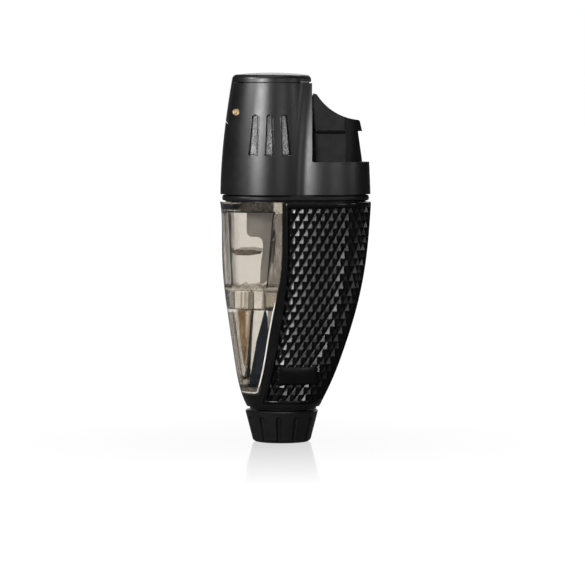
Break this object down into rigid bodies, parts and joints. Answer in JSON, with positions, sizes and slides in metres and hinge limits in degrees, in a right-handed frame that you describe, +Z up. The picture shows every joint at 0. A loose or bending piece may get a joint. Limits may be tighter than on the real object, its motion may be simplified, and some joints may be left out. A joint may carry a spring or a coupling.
{
  "type": "pocket jet lighter",
  "caption": "Pocket jet lighter with a flip lid, thumb trigger, see-through fuel tank, diamond-pattern grip and a fluted flame-adjuster knob as its foot.",
  "frame": {"origin": "centre of the adjuster knob's flat foot, on which the lighter stands", "axes": "+Z up through the knob and valve, +X towards the thumb trigger, -X towards the lid hinge, the two broad sides face -Y and +Y"},
  "size_m": [0.0333, 0.021, 0.0811],
  "materials": {
    "head_black": "satin",
    "trigger_black": "satin",
    "frame_black": "gloss",
    "grip_black": "gloss",
    "knob_black": "satin",
    "tank_smoke": "clear smoke",
    "inner_grey": "matte",
    "inner_black": "matte",
    "amber_tube": "gloss",
    "brass": "turned",
    "steel": "brushed",
    "rubber": "matte",
    "ceramic": "matte",
    "lead_red": "satin"
  },
  "bodies": {
    "housing": {"fuel_tank": "tank_smoke", "tank_lid": "inner_grey", "tank_partition": "inner_grey", "filter_wick": "amber_tube", "body_frame": "frame_black", "grip_cover": "grip_black", "collar_ring": "trigger_black", "neck_bush": "frame_black", "refill_valve_body": "brass", "refill_valve_seal": "rubber", "refill_valve_spring": "steel", "head_shell": "head_black", "lid_pin": "brass", "lid_spring": "steel", "piezo_case": "inner_black", "piezo_crystal": "ceramic", "piezo_spring": "steel", "release_valve_body": "brass", "release_valve_spring": "steel", "valve_lever_pin": "steel", "chassis": "inner_black", "chassis_screws": "steel", "burner_holder": "ceramic", "burner_orifice": "brass", "burner_tube": "steel", "burner_ring": "steel", "ignition_electrode": "steel", "ignition_lead": "lead_red", "gas_hose": "rubber", "flame_guard": "steel"},
    "adjuster": {"adjuster_knob": "knob_black", "adjuster_spindle": "inner_black", "knob_o_ring": "rubber"},
    "refill_stem": {"refill_valve_stem": "brass"},
    "lid": {"lid_cap": "head_black", "lid_liner": "rubber"},
    "trigger": {"trigger_button": "trigger_black", "trigger_slider": "trigger_black", "piezo_plunger": "inner_grey"},
    "valve_lever": {"valve_lever": "steel"},
    "valve_stem": {"release_valve_stem": "brass", "release_valve_seal": "rubber"}
  },
  "joints": [
    {"name": "trigger_press", "type": "slide", "parent": "housing", "child": "trigger", "axis": [0, 0, -1], "range_m": [0, 0.004], "stiffness_N_per_m": 1800, "deforming": ["piezo_spring"]},
    {"name": "lid_open", "type": "hinge", "parent": "housing", "child": "lid", "pos_m": [-0.00995, 0, 0.0725], "axis": [0, -1, 0], "range_deg": [0, 75], "deforming": ["lid_spring"]},
    {"name": "valve_lever_rock", "type": "hinge", "parent": "housing", "child": "valve_lever", "pos_m": [0.0024, 0, 0.05645], "axis": [0, 1, 0], "range_deg": [0, 6]},
    {"name": "valve_stem_lift", "type": "slide", "parent": "housing", "child": "valve_stem", "axis": [0, 0, 1], "range_m": [0, 0.00074], "deforming": ["release_valve_spring", "gas_hose"]},
    {"name": "adjuster_turn", "type": "hinge", "parent": "housing", "child": "adjuster", "pos_m": [0, 0, 0.0035], "axis": [0, 0, 1], "range_deg": [-135, 135]},
    {"name": "refill_stem_press", "type": "slide", "parent": "housing", "child": "refill_stem", "axis": [0, 0, 1], "range_m": [0, 0.0012], "stiffness_N_per_m": 1500, "deforming": ["refill_valve_spring"]}
  ],
  "couplings": [
    {"joint": "lid_open", "follows": "trigger_press", "rad_per_m": 327.25},
    {"joint": "valve_lever_rock", "follows": "trigger_press", "rad_per_m": 26.18},
    {"joint": "valve_stem_lift", "follows": "trigger_press", "ratio": 0.185}
  ]
}
